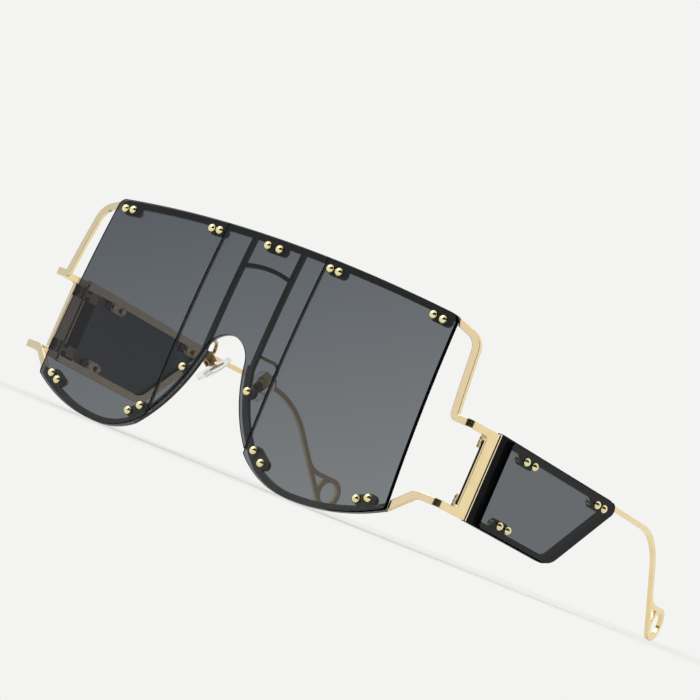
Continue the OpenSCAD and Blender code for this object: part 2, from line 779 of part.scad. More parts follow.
// Side arms and hinge band as [y, z]
module band2d() {
    for (z = [arm_top_z, arm_low_z])
        translate([bend_y(z) - lap, z - wire_w / 2]) square([band_end - bend_y(z) + lap, wire_w]);
    translate([band_y, arm_low_z]) square([band_l, arm_top_z - arm_low_z]);
    low = [band_y - band_corner_r, arm_low_z + wire_w / 2 + band_corner_r];
    high = [band_y - band_corner_r, arm_top_z - wire_w / 2 - band_corner_r];
    difference() {
        translate([band_y - band_corner_r, arm_low_z]) square([band_corner_r + lap, arm_top_z - arm_low_z]);
        translate(low) circle(r = band_corner_r, $fn = fine);
        translate(high) circle(r = band_corner_r, $fn = fine);
        translate([low[0] - lap, low[1]]) square([band_corner_r + lap, high[1] - low[1]]);
    }
}

module end_piece_left() { end_piece(-1); }
module end_piece_right() { end_piece(1); }

// Hinges: two knuckles on the band, one on the temple, twice on each side

module knuckle(z, h) {
    translate([axis_x, axis_y, z]) cylinder(r = knuckle_r, h = h, $fn = fine);
}

module knuckle_bore(z) {
    translate([axis_x, axis_y, z - stack_h]) cylinder(r = pin_r + pin_clear, h = 2 * stack_h, $fn = fine);
}

module hinge_block(s) {
    color(gold) sided(s) for (z = hinge_heights) difference() {
        for (up = [-1, 1]) {
            base = z - knuckle_h / 2 + up * (knuckle_h + knuckle_gap);
            knuckle(base, knuckle_h);
            translate([axis_x, axis_y - knuckle_r, base]) cube([axis_in, 2 * knuckle_r, knuckle_h]);
        }
        knuckle_bore(z);
    }
}
module hinge_block_left() { hinge_block(-1); }
module hinge_block_right() { hinge_block(1); }

module hinge_leaf(s) {
    color(gold) on_temple(s) for (z = hinge_heights) difference() {
        union() {
            knuckle(z - knuckle_h / 2, knuckle_h);
            translate([axis_x - leaf_t / 2, axis_y, z - knuckle_h / 2])
                cube([leaf_t, temple_y - axis_y + leaf_l, knuckle_h]);
            translate([axis_x - leaf_t / 2, temple_y + seam, z - stack_h / 2])
                cube([side_x - temple_t - axis_x + leaf_t / 2, leaf_l - seam, stack_h]);
        }
        knuckle_bore(z);
    }
}
module hinge_leaf_left() { hinge_leaf(-1); }
module hinge_leaf_right() { hinge_leaf(1); }

module hinge_screws(s) {
    color(gold) sided(s) for (z = hinge_heights) translate([axis_x, axis_y, z]) difference() {
        union() {
            translate([0, 0, -stack_h / 2]) cylinder(r = pin_r, h = stack_h + pin_head_h / 2, $fn = fine);
            translate([0, 0, stack_h / 2]) cylinder(r = pin_head_r, h = pin_head_h, $fn = fine);
        }
        translate([-pin_head_r - over, -pin_r / 4, stack_h / 2 + pin_head_h / 2])
            cube([2 * (pin_head_r + over), pin_r / 2, pin_head_h]);
    }
}
module hinge_screws_left() { hinge_screws(-1); }
module hinge_screws_right() { hinge_screws(1); }

// Temple frames

module temple_outline2d(front, d) {
    rounded2d(
        temple_pts(front, d, d, d),
        [front_corner_r, heel_r - d, rear_corner_r - d, front_corner_r]
    );
}

module temple_frame2d() {
    window = temple_pts(temple_front_w, temple_top_w, temple_rear_w, temple_low_w);
    difference() {
        temple_outline2d(0, 0);
        rounded2d(window, [window_r, heel_r - temple_rear_w, window_r, window_r]);
    }
    for (row = side_rows) lug2d(row[0], row[1], side_lug_r);
}

module temple_plate(from, t) {
    translate([from, 0, 0]) rotate([90, 0, 90]) linear_extrude(t) children();
}

module side_holes() {
    reach = temple_t + side_lens_t + 2 * over;
    for (p = side_rivet_spots) on_side(p) translate([0, 0, -temple_t - over])
        cylinder(r = shank_r + shank_clear, h = reach + over, $fn = fine);
}

module temple_frame(s) {
    color(black) on_temple(s) difference() {
        temple_plate(side_x - temple_t, temple_t) temple_frame2d();
        side_holes();
    }
}
module temple_frame_left() { temple_frame(-1); }
module temple_frame_right() { temple_frame(1); }

module side_lens(s) {
    color(grey) on_temple(s) difference() {
        temple_plate(side_x + glue_gap, side_lens_t) temple_outline2d(side_lens_y, side_lens_inset);
        side_holes();
    }
}
module side_lens_left() { side_lens(-1); }
module side_lens_right() { side_lens(1); }

module side_rivets(s) {
    cover = glue_gap + side_lens_t;
    color(gold) on_temple(s) for (p = side_rivet_spots) on_side(p)
        translate([0, 0, cover]) rivet(cover + temple_t + nut_h);
}
module side_rivets_left() { side_rivets(-1); }
module side_rivets_right() { side_rivets(1); }

module side_rivet_nuts(s) {
    color(gold) on_temple(s) for (p = side_rivet_spots) on_side(p) nut(temple_t);
}
module side_rivet_nuts_left() { side_rivet_nuts(-1); }
module side_rivet_nuts_right() { side_rivet_nuts(1); }

// Temple bars with the ring at the tip

module rod2d() {
    difference() {
        union() {
            path2d([[-heel_r, rod_z], [drop_a, rod_z], drop_end], [drop_r], rod_w);
            fork_start = [fork_a, fork_z] - fork_back * unit(-drop_turn);
            path2d([fork_start, [fork_a, fork_z], [ring_a, fork_z]], [fork_r], rod_w);
            translate([ring_a, ring_z]) circle(r = ring_r, $fn = fine);
        }
        translate([ring_a, ring_z]) circle(r = ring_hole_r, $fn = fine);
    }
}

module temple_bar(s) {
    color(gold) on_temple(s) difference() {
        translate([rod_x, rod_y, 0]) rotate(bar_turn) rotate([90, 0, 90])
            translate([0, 0, -rod_t / 2]) linear_extrude(rod_t) rod2d();
        translate([rod_x - 2 * temple_t, 0, 0]) rotate([90, 0, 90]) linear_extrude(4 * temple_t)
            rounded2d(
                temple_pts(0, -glue_gap, -glue_gap, -glue_gap),
                [front_corner_r, heel_r + glue_gap, rear_corner_r + glue_gap, front_corner_r]
            );
    }
}
module temple_bar_left() { temple_bar(-1); }
module temple_bar_right() { temple_bar(1); }

// Nose pads: a wire arm with a box, and a clear pad on a moulded insert that rocks in the box

// Local z points towards the nose, local y up along the pad, local x along the pad's screw
module at_pad() {
    translate(pad_pivot) rotate([-pad_pitch, 0, 0]) rotate(180 - pad_turn) rotate([0, pad_lean, 0])
        rotate([90, 0, 90]) children();
}

module pad_arm(s) {
    color(gold) sided(s) {
        translate([pad_root_x, pad_root_y, pad_root_z]) rotate(-pad_arm_turn) {
            translate([0, pad_root_gap, 0]) rotate([-90, 0, 0])
                cylinder(r = pad_wire_r - cross, h = pad_wire_l + lap - pad_root_gap, $fn = fine);
            translate([0, pad_wire_l, -pad_loop_r]) rotate([90, 0, 90]) rotate(-90)
                rotate_extrude(angle = 180, $fn = fine) translate([pad_loop_r, 0])
                    circle(r = pad_wire_r, $fn = fine);
        }
        at_pad() difference() {
            translate([-pad_box / 2, -pad_box / 2, -pad_box])
                cube([pad_box, pad_box, pad_box + pad_slot / 2]);
            translate([-pad_slot / 2, -pad_box, -tab_end_r - 2 * pad_play])
                cube([pad_slot, 2 * pad_box, 2 * pad_box]);
            translate([-pad_box, 0, 0]) rotate([0, 90, 0])
                cylinder(r = pad_pin_r + pad_pin_clear, h = 2 * pad_box, $fn = fine);
        }
    }
}
module pad_arm_left() { pad_arm(-1); }
module pad_arm_right() { pad_arm(1); }

module pad_screw(s) {
    color(gold) sided(s) at_pad() rotate([0, 90, 0]) {
        translate([0, 0, -pad_box / 2]) cylinder(r = pad_pin_r, h = pad_box + pad_pin_r, $fn = fine);
        translate([0, 0, pad_box / 2]) cylinder(r = 2 * pad_pin_r, h = pad_pin_r, $fn = fine);
    }
}
module pad_screw_left() { pad_screw(-1); }
module pad_screw_right() { pad_screw(1); }

module insert_plate(grow) {
    translate([-insert_w / 2 - grow, -insert_l / 2 - grow, pad_box / 2 + insert_t - grow])
        cube([insert_w + 2 * grow, insert_l + 2 * grow, insert_t + 2 * grow]);
}

module pad_insert(s) {
    tab_w = pad_slot - 2 * pad_play;
    color(gold) sided(s) at_pad() difference() {
        union() {
            insert_plate(0);
            translate([-tab_w / 2, 0, 0]) rotate([0, 90, 0]) cylinder(r = tab_end_r, h = tab_w, $fn = fine);
            translate([-tab_w / 2, -tab_end_r, 0])
                cube([tab_w, 2 * tab_end_r, pad_box / 2 + 2 * insert_t - lap]);
        }
        translate([-pad_box, 0, 0]) rotate([0, 90, 0])
            cylinder(r = pad_pin_r + pad_pin_clear, h = 2 * pad_box, $fn = fine);
    }
}
module pad_insert_left() { pad_insert(-1); }
module pad_insert_right() { pad_insert(1); }

module nose_pad(s) {
    tab_w = pad_slot - 2 * pad_play;
    base = pad_box / 2;
    color(clear) sided(s) at_pad() difference() {
        intersection() {
            translate([0, -pad_drop, base]) linear_extrude(pad_t) {
                strip2d([0, (pad_w - pad_l) / 2], [0, (pad_l - pad_w) / 2], pad_w - 2 * cross);
                for (e = [-1, 1]) translate([0, e * (pad_l - pad_w) / 2]) circle(r = pad_w / 2, $fn = fine);
            }
            translate([0, -pad_drop, base + pad_t - pad_face_r]) sphere(r = pad_face_r, $fn = long_fine);
        }
        insert_plate(glue_gap);
        translate([-tab_w / 2 - glue_gap, -tab_end_r - glue_gap, 0])
            cube([tab_w + 2 * glue_gap, 2 * (tab_end_r + glue_gap), pad_box / 2 + 2 * insert_t]);
    }
}
module nose_pad_left() { nose_pad(-1); }
module nose_pad_right() { nose_pad(1); }

front_frame();
end_piece_left();
end_piece_right();
lens_left();
lens_center();
lens_right();
front_rivets();
front_rivet_nuts();
hinge_block_left();
hinge_block_right();
hinge_leaf_left();
hinge_leaf_right();
hinge_screws_left();
hinge_screws_right();
temple_frame_left();
temple_frame_right();
side_lens_left();
side_lens_right();
side_rivets_left();
side_rivets_right();
side_rivet_nuts_left();
side_rivet_nuts_right();
temple_bar_left();
temple_bar_right();
pad_arm_left();
pad_arm_right();
pad_screw_left();
pad_screw_right();
pad_insert_left();
pad_insert_right();
nose_pad_left();
nose_pad_right();
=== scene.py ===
"""Oversized shield sunglasses: materials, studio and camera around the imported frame, in metres."""
import math

import bpy
from mathutils import Matrix, Vector

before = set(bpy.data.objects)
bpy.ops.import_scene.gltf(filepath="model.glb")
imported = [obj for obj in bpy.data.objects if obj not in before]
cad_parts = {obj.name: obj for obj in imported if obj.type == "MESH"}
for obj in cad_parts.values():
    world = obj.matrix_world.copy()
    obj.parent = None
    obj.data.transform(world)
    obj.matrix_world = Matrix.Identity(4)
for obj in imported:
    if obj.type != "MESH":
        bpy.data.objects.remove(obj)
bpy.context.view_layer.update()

# Nodes of the frame

SIDES = ("left", "right")
OUTWARD = {"left": -1.0, "right": 1.0}
HINGE_PIECES = ("hinge_block", "hinge_leaf", "hinge_screws")
PAD_PIECES = ("pad_arm", "pad_screw", "pad_insert")


def on_side(side, *pieces):
    return [f"{piece}_{side}" for piece in pieces]


def on_both(*pieces):
    return [node for side in SIDES for node in on_side(side, *pieces)]


def assign(names, mat):
    for name in names:
        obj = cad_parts[name]
        obj.data.materials.clear()
        obj.data.materials.append(mat)


# Helpers for node materials

MAP_SOCKETS = ("From Min", "From Max", "To Min", "To Max")


def new_material(name):
    mat = bpy.data.materials.new(name)
    mat.use_nodes = True
    mat.node_tree.nodes.clear()
    return mat, mat.node_tree.nodes, mat.node_tree.links


def put(nodes, kind, **values):
    """New node whose inputs, or else its own settings, take the values given by name."""
    node = nodes.new(kind)
    for key, value in values.items():
        if key in node.inputs:
            node.inputs[key].default_value = value
        else:
            setattr(node, key, value)
    return node


def feed(links, value, socket):
    """Link an output to the socket, or set the socket to a fixed value."""
    if isinstance(value, bpy.types.NodeSocket):
        links.new(value, socket)
    else:
        socket.default_value = value


def grey(value):
    return (value, value, value)


def ramp(nodes, links, value, stops):
    """Colour at the value, from stops of place and colour."""
    node = nodes.new("ShaderNodeValToRGB")
    node.color_ramp.interpolation = "LINEAR"
    bar = node.color_ramp.elements
    while len(bar) < len(stops):
        bar.new(0.5)
    for element, (place, colour) in zip(bar, stops):
        element.position = place
        element.color = (*colour, 1.0)
    links.new(value, node.inputs["Fac"])
    return node.outputs["Color"]


def mapped(nodes, links, value, limits, **settings):
    """The value carried from its first two limits to the last two, and clamped to them."""
    node = put(nodes, "ShaderNodeMapRange", **settings)
    for socket, limit in zip(MAP_SOCKETS, limits):
        node.inputs[socket].default_value = limit
    links.new(value, node.inputs["Value"])
    return node.outputs["Result"]


def combine(nodes, links, operation, first, second):
    """Result of a Math node, clamped to 0..1, on a socket and a second socket or a number."""
    node = put(nodes, "ShaderNodeMath", operation=operation, use_clamp=True)
    links.new(first, node.inputs[0])
    feed(links, second, node.inputs[1])
    return node.outputs[0]


def mixed(nodes, links, mask, first, second):
    """The first colour where the mask is 0, and the second one, linked or fixed, where it is 1."""
    mix = put(nodes, "ShaderNodeMix", data_type="RGBA")
    links.new(mask, mix.inputs["Factor"])
    links.new(first, mix.inputs["A"])
    feed(links, second, mix.inputs["B"])
    return mix.outputs["Result"]


def mixed_shader(nodes, links, mask, first, second):
    mix = nodes.new("ShaderNodeMixShader")
    links.new(mask, mix.inputs["Fac"])
    links.new(first, mix.inputs[1])
    links.new(second, mix.inputs[2])
    return mix.outputs["Shader"]


def end_in(nodes, links, kind, shader):
    out = nodes.new(kind)
    links.new(shader, out.inputs["Surface"])


# Fine noise in colour, gloss and normal

NOISE_DETAIL = 1.5
NOISE_ROUGHNESS = 0.5
NOISE_SPAN = (0.3, 0.7)
BUMP_DISTANCE = 0.0001
BEVEL_SAMPLES = 6


def over_noise(nodes, links, noise, low, high, span=NOISE_SPAN):
    """Colour that goes from low to high within the span of the noise."""
    return ramp(nodes, links, noise, [(span[0], low), (span[1], high)])


def varied_shader(nodes, links, coord, finish, gloss, **values):
    """Principled shader with a fine noise in its roughness and its normal, and that noise.

    finish is the scale of the noise, the strength of its bump and the radius that edges seem to have.
    gloss is the least and the greatest roughness.
    """
    scale, strength, rounding = finish
    noise = put(
        nodes, "ShaderNodeTexNoise", Scale=scale, Detail=NOISE_DETAIL, Roughness=NOISE_ROUGHNESS)
    links.new(coord.outputs["Object"], noise.inputs["Vector"])
    bump = put(nodes, "ShaderNodeBump", Strength=strength, Distance=BUMP_DISTANCE)
    links.new(noise.outputs["Fac"], bump.inputs["Height"])
    if rounding:
        bevel = put(nodes, "ShaderNodeBevel", samples=BEVEL_SAMPLES, Radius=rounding)
        links.new(bevel.outputs["Normal"], bump.inputs["Normal"])
    shader = put(nodes, "ShaderNodeBsdfPrincipled", **values)
    roughness = over_noise(nodes, links, noise.outputs["Fac"], grey(gloss[0]), grey(gloss[1]))
    links.new(roughness, shader.inputs["Roughness"])
    links.new(bump.outputs["Normal"], shader.inputs["Normal"])
    end_in(nodes, links, "ShaderNodeOutputMaterial", shader.outputs["BSDF"])
    return shader, noise.outputs["Fac"]


# Masks by place, in metres in the untilted frame of the part, and by the way a face turns

TILT = math.radians(2.951)
PART_BACK = 0.08072
AXES = {
    "X": Vector((1.0, 0.0, 0.0)),
    "Y": Vector((0.0, math.cos(TILT), -math.sin(TILT))),
    "Z": Vector((0.0, math.sin(TILT), math.cos(TILT)))
}


def along(nodes, links, coord, axis):
    flat = put(nodes, "ShaderNodeVectorMath", operation="DOT_PRODUCT")
    flat.inputs[1].default_value = AXES[axis]
    links.new(coord.outputs["Object"], flat.inputs[0])
    return flat.outputs["Value"]


def between(nodes, links, coord, axis, span):
    """1 where the point lies in the span along the axis, 0 elsewhere."""
    near = put(nodes, "ShaderNodeMath", operation="COMPARE")
    near.inputs[1].default_value = (span[0] + span[1]) / 2 - PART_BACK * AXES[axis].y
    near.inputs[2].default_value = (span[1] - span[0]) / 2
    links.new(along(nodes, links, coord, axis), near.inputs[0])
    return near.outputs[0]


def in_box(nodes, links, coord, box, mask=None):
    """1 inside the box, given as spans by axis, and where the mask is 1 too if there is one."""
    for axis, span in box.items():
        part = between(nodes, links, coord, axis, span)
        mask = combine(nodes, links, "MULTIPLY", mask, part) if mask else part
    return mask


def turned_to(nodes, links, coord, axis, sign, limit):
    """1 on faces whose normal leans along the axis by more than the limit."""
    split = nodes.new("ShaderNodeSeparateXYZ")
    links.new(coord.outputs["Normal"], split.inputs["Vector"])
    signed = combine(nodes, links, "MULTIPLY", split.outputs[axis], sign)
    return combine(nodes, links, "GREATER_THAN", signed, limit)


# Gold plate: pale, polished, with a faint waviness and fine variation of colour and gloss

GOLD_FINISH = (260.0, 0.015, 0.00028)
GOLD_FACE_LIMIT = 0.8
GOLD_SIDE_LIMIT = 0.2


def gold(name, low, high, gloss, marks=(), face=None):
    """face is the colour of the faces that look ahead. Each mark is a box, the colour inside it, and
    0 or the sign of X to which a face has to turn to take that colour.
    """
    mat, nodes, links = new_material(name)
    coord = nodes.new("ShaderNodeTexCoord")
    shader, noise = varied_shader(nodes, links, coord, GOLD_FINISH, gloss, Metallic=1.0)
    colour = over_noise(nodes, links, noise, low, high)
    if face:
        ahead = turned_to(nodes, links, coord, "Y", -1.0, GOLD_FACE_LIMIT)
        colour = mixed(nodes, links, ahead, colour, face)
    for box, shade, toward in marks:
        turned = turned_to(nodes, links, coord, "X", toward, GOLD_SIDE_LIMIT) if toward else None
        colour = mixed(nodes, links, in_box(nodes, links, coord, box, turned), colour, shade)
    links.new(colour, shader.inputs["Base Color"])
    return mat


# Black enamel over metal

ENAMEL_FINISH = (300.0, 0.02, 0.00022)
ENAMEL_GLOSS = (0.14, 0.22)
ENAMEL_SPAN = (0.35, 0.75)


def enamel_shader(nodes, links, coord, low, high, level):
    """Shader, its noise and the black that varies with it. level is the strength of its reflection."""
    shader, noise = varied_shader(nodes, links, coord, ENAMEL_FINISH, ENAMEL_GLOSS)
    shader.inputs["Specular IOR Level"].default_value = level
    return shader, noise, over_noise(nodes, links, noise, low, high, ENAMEL_SPAN)


# Front frame: the faces that look ahead through the lens turn greyer towards the bottom, painted light
# on the black enamel

FRAME_LEVEL = 0.3
FRAME_BLACK = (grey(0.006), (0.012, 0.012, 0.013))
RIM_FACE_LIMIT = 0.93
RIM_PAINTED_LIGHT_FADE = (0.020, 0.046)
RIM_PAINTED_LIGHT = (0.85, 0.82, 0.70, 1.0)


def frame_enamel(name):
    mat, nodes, links = new_material(name)
    coord = nodes.new("ShaderNodeTexCoord")
    shader, _, black = enamel_shader(nodes, links, coord, *FRAME_BLACK, FRAME_LEVEL)
    ahead = turned_to(nodes, links, coord, "Y", -1.0, RIM_FACE_LIMIT)
    low_down = mapped(nodes, links, along(nodes, links, coord, "Z"), (*RIM_PAINTED_LIGHT_FADE, 1.0, 0.0))
    # Painted light: the lower front faces behind the lens are mixed towards pale grey
    rim = combine(nodes, links, "MULTIPLY", ahead, low_down)
    links.new(mixed(nodes, links, rim, black, RIM_PAINTED_LIGHT), shader.inputs["Base Color"])
    return mat


# Temple frame: gold left bare on the inner faces, but not on the front bar, and on the front edge,
# with a painted highlight strip of pale gold on the outer face next to the front edge

TEMPLE_LEVEL = 0.03
TEMPLE_BLACK = (grey(0.003), (0.006, 0.006, 0.007))
TEMPLE_FACE_LIMIT = 0.85
FRONT_BAR = {"Y": (0.0250, 0.0306), "Z": (0.0152, 0.0363)}
FRONT_HIGHLIGHT_LINE = {"Y": (0.0240, 0.0249)}
INNER_GOLD = ((0.76, 0.58, 0.42), (0.86, 0.68, 0.51))
EDGE_GOLD_AND_HIGHLIGHT = (0.96, 0.83, 0.56, 1.0)


def temple_enamel(name, outward):
    """outward is the sign of X on the outer faces."""
    mat, nodes, links = new_material(name)
    coord = nodes.new("ShaderNodeTexCoord")
    shader, noise, black = enamel_shader(nodes, links, coord, *TEMPLE_BLACK, TEMPLE_LEVEL)
    inner = turned_to(nodes, links, coord, "X", -outward, TEMPLE_FACE_LIMIT)
    outer = turned_to(nodes, links, coord, "X", outward, TEMPLE_FACE_LIMIT)
    ahead = turned_to(nodes, links, coord, "Y", -1.0, TEMPLE_FACE_LIMIT)
    gilt = combine(nodes, links, "SUBTRACT", inner, in_box(nodes, links, coord, FRONT_BAR))
    # Painted highlight: a strip of the outer face along the front edge takes the pale edge gold
    line = in_box(nodes, links, coord, FRONT_HIGHLIGHT_LINE, outer)
    edge = combine(nodes, links, "MAXIMUM", ahead, line)
    bare = combine(nodes, links, "MAXIMUM", gilt, edge)
    colour = mixed(nodes, links, bare, black, over_noise(nodes, links, noise, *INNER_GOLD))
    links.new(mixed(nodes, links, edge, colour, EDGE_GOLD_AND_HIGHLIGHT), shader.inputs["Base Color"])
    links.new(bare, shader.inputs["Metallic"])
    return mat


# Tinted lens: darker towards the top left, with dark edges and a faint gloss

GLOSS_SHARE = 0.3
LENS_BLACK = (0.003, 0.003, 0.004, 1.0)
LENS_ROUGHNESS = 0.02
LENS_LEVEL = 0.8
LENS_FACE_LIMIT = 0.7
WRAP_CENTRE = (0.0, 0.320499, 0.01368)
WRAP_RADIUS = 0.4
DARK_EDGE = 0.0005
FULL_EDGE_FROM = 0.05


def face_tint(total):
    """Tint of one face whose square, with the gloss share taken off, is what the lens lets through."""
    return tuple(math.sqrt(c) / (1.0 - GLOSS_SHARE) for c in total)


def lens(name, face_axis, span_x, span_z, low, high, dark_from=0.0):
    """low and high are the light that passes the lens at the bottom right and at the top left.

    face_axis is the axis along which the large faces look. Edges are dark where they lie farther than
    dark_from from the centre of the wrap, and all over at the right end.
    """
    mat, nodes, links = new_material(name)
    coord = nodes.new("ShaderNodeTexCoord")
    place = nodes.new("ShaderNodeSeparateXYZ")
    links.new(coord.outputs["Object"], place.inputs["Vector"])
    share_x = mapped(nodes, links, place.outputs["X"], (*span_x, 0.0, 0.5))
    share_z = mapped(nodes, links, place.outputs["Z"], (*span_z, 0.0, 0.5))
    share = combine(nodes, links, "ADD", share_x, share_z)
    tint = ramp(nodes, links, share, [(0.0, face_tint(low)), (1.0, face_tint(high))])
    clear = nodes.new("ShaderNodeBsdfTransparent")
    links.new(tint, clear.inputs["Color"])

    normal = nodes.new("ShaderNodeSeparateXYZ")
    links.new(coord.outputs["Normal"], normal.inputs["Vector"])
    lean = put(nodes, "ShaderNodeMath", operation="ABSOLUTE")
    links.new(normal.outputs[face_axis], lean.inputs[0])
    edge_face = combine(nodes, links, "LESS_THAN", lean.outputs[0], LENS_FACE_LIMIT)
    away = put(nodes, "ShaderNodeVectorMath", operation="DISTANCE")
    away.inputs[1].default_value = WRAP_CENTRE
    links.new(coord.outputs["Object"], away.inputs[0])
    outer = combine(nodes, links, "GREATER_THAN", away.outputs["Value"], dark_from)
    right_end = combine(nodes, links, "GREATER_THAN", place.outputs["X"], FULL_EDGE_FROM)
    dark = combine(nodes, links, "MAXIMUM", outer, right_end)
    edge = combine(nodes, links, "MULTIPLY", edge_face, dark)

    gloss = put(nodes, "ShaderNodeBsdfPrincipled", Roughness=LENS_ROUGHNESS)
    gloss.inputs["Base Color"].default_value = LENS_BLACK
    level = put(nodes, "ShaderNodeMath", operation="MULTIPLY_ADD")
    level.inputs[1].default_value = -LENS_LEVEL
    level.inputs[2].default_value = LENS_LEVEL
    links.new(edge, level.inputs[0])
    links.new(level.outputs[0], gloss.inputs["Specular IOR Level"])
    solid = combine(nodes, links, "MAXIMUM", edge, GLOSS_SHARE)
    surface = mixed_shader(nodes, links, solid, clear.outputs["BSDF"], gloss.outputs["BSDF"])
    end_in(nodes, links, "ShaderNodeOutputMaterial", surface)
    return mat


# Clear nose pads

PAD_FINISH = (1500.0, 0.06, 0.0)
PAD_GLOSS = (0.04, 0.10)
PAD_TINT = ((0.90, 0.92, 0.91), (0.97, 0.98, 0.97))
PAD_TRANSMISSION = 0.95
PAD_IOR = 1.22


def silicone(name):
    mat, nodes, links = new_material(name)
    coord = nodes.new("ShaderNodeTexCoord")
    shader, noise = varied_shader(nodes, links, coord, PAD_FINISH, PAD_GLOSS, IOR=PAD_IOR)
    shader.inputs["Transmission Weight"].default_value = PAD_TRANSMISSION
    links.new(over_noise(nodes, links, noise, *PAD_TINT), shader.inputs["Base Color"])
    return mat


# Gold pieces: two colours and the roughness between which each finish varies

PALE_GOLD = ((0.88, 0.70, 0.37), (0.94, 0.77, 0.44), (0.10, 0.17))
BRASS = ((0.88, 0.78, 0.40), (0.94, 0.85, 0.48), (0.06, 0.11))
WARM_GOLD = ((0.62, 0.46, 0.27), (0.74, 0.58, 0.37), (0.16, 0.26))
PAD_GOLD = ((0.50, 0.34, 0.16), (0.62, 0.44, 0.23), (0.16, 0.26))
# Painted shade: a darkened copy of the hinge gold for the left hinge pieces
SHADED_LEFT_HINGE_GOLD = ((0.24, 0.19, 0.13), (0.36, 0.28, 0.19), (0.22, 0.34))
HINGE_GOLD = ((0.70, 0.56, 0.32), (0.80, 0.66, 0.40), (0.16, 0.26))

# Marks on the gold: painted dark lines along the bands (a seam shadow at the rear of both, and a dark
# reflection on the front edge of the right one), and a painted dark reflection that browns inner faces

# Painted shade: this dark line stands for the shadow in the seam behind each band and, on the right, a
# dark reflection along the band's front edge
PAINTED_SHADOW_AND_REFLECTION_LINE = (0.02, 0.016, 0.012, 1.0)
# Painted dark reflection: inner faces of the bands and of the temple bars are browned
PAINTED_REFLECTION_BROWN = (0.50, 0.38, 0.29, 1.0)
# Colour of the band faces that look ahead; the darker, greyer left one is painted shade
BAND_FACE_AND_LEFT_SHADE = {"left": (0.68, 0.60, 0.42, 1.0), "right": (0.84, 0.68, 0.43, 1.0)}
BAND_REAR_SEAM_SHADOW = {"Y": (0.02385, 0.02425)}
BAND_BEHIND_REFLECTION = {"Y": (0.0190, 0.0238)}
# Painted dark reflection, on the right band's front edge only
BAND_FRONT_RIGHT_REFLECTION = {"X": (0.0781, 0.0790), "Y": (0.0185, 0.0193), "Z": (0.0165, 0.0352)}
BAR_INSIDE_REFLECTION = {"Y": (0.105, 0.17)}
BAND_SHADE_LINES = {
    "left": [(BAND_REAR_SEAM_SHADOW, PAINTED_SHADOW_AND_REFLECTION_LINE, 0)],
    "right": [(BAND_REAR_SEAM_SHADOW, PAINTED_SHADOW_AND_REFLECTION_LINE, 0), (BAND_FRONT_RIGHT_REFLECTION, PAINTED_SHADOW_AND_REFLECTION_LINE, 0)]
}

for side in SIDES:
    bar_marks = [(BAR_INSIDE_REFLECTION, PAINTED_REFLECTION_BROWN, -OUTWARD[side])]
    band_marks = BAND_SHADE_LINES[side] + [(BAND_BEHIND_REFLECTION, PAINTED_REFLECTION_BROWN, -OUTWARD[side])]
    assign([f"temple_bar_{side}"], gold(f"pale_gold_bar_{side}", *PALE_GOLD, bar_marks))
    assign([f"end_piece_{side}"], gold(f"pale_gold_{side}", *PALE_GOLD, band_marks, BAND_FACE_AND_LEFT_SHADE[side]))
assign(["front_rivets", *on_both("side_rivets")], gold("bright_brass", *BRASS))
assign(["front_rivet_nuts", *on_both("side_rivet_nuts")], gold("warm_gold", *WARM_GOLD))
assign(on_both(*PAD_PIECES), gold("pad_gold", *PAD_GOLD))
# The left hinge is painted in shade, the right one in its own gold
assign(on_side("left", *HINGE_PIECES), gold("hinge_gold_painted_shade", *SHADED_LEFT_HINGE_GOLD))
assign(on_side("right", *HINGE_PIECES), gold("hinge_gold", *HINGE_GOLD))

# Enamel, lenses and pads

FRONT_SPANS = ((0.066, -0.066), (0.0, 0.066))
FRONT_TINTS = ((0.203, 0.218, 0.226), (0.080, 0.092, 0.112))
SIDE_SPANS = ((0.2, -0.2), (0.008, 0.036))
SIDE_TINTS = ((0.120, 0.131, 0.142), (0.112, 0.124, 0.136))
# Painted shade: the left side lens lets less light through than the right one
SIDE_LENS_PAINTED_SHADE = {"left": 0.78, "right": 1.0}

assign(["front_frame"], frame_enamel("black_enamel"))
for side in SIDES:
    assign([f"temple_frame_{side}"], temple_enamel(f"black_and_gold_{side}", OUTWARD[side]))
front_lens = lens("grey_lens", "Y", *FRONT_SPANS, *FRONT_TINTS, WRAP_RADIUS - DARK_EDGE)
assign(["lens_left", "lens_center", "lens_right"], front_lens)
for side in SIDES:
    tints = [tuple(c * SIDE_LENS_PAINTED_SHADE[side] for c in tint) for tint in SIDE_TINTS]
    assign([f"side_lens_{side}"], lens(f"grey_side_lens_{side}", "X", *SIDE_SPANS, *tints))
assign(on_both("nose_pad"), silicone("clear_silicone"))


# Studio

PALE = (0.90, 0.90, 0.885, 1.0)
FLOOR_PAINT = (0.72, 0.72, 0.71, 1.0)
FLOOR_SIZE = 12.0
FLOOR_AT = (0.0, 0.0, -0.0002)
FLOOR_FADE = (0.10, 0.22, 0.45, 1.0)


def not_lighting(nodes, links):
    """1 on rays that look at the studio, straight, in gloss or through glass, 0 on its light."""
    path = nodes.new("ShaderNodeLightPath")
    looking = combine(
        nodes, links, "MAXIMUM", path.outputs["Is Camera Ray"], path.outputs["Is Transmission Ray"])
    return combine(nodes, links, "MAXIMUM", looking, path.outputs["Is Glossy Ray"])


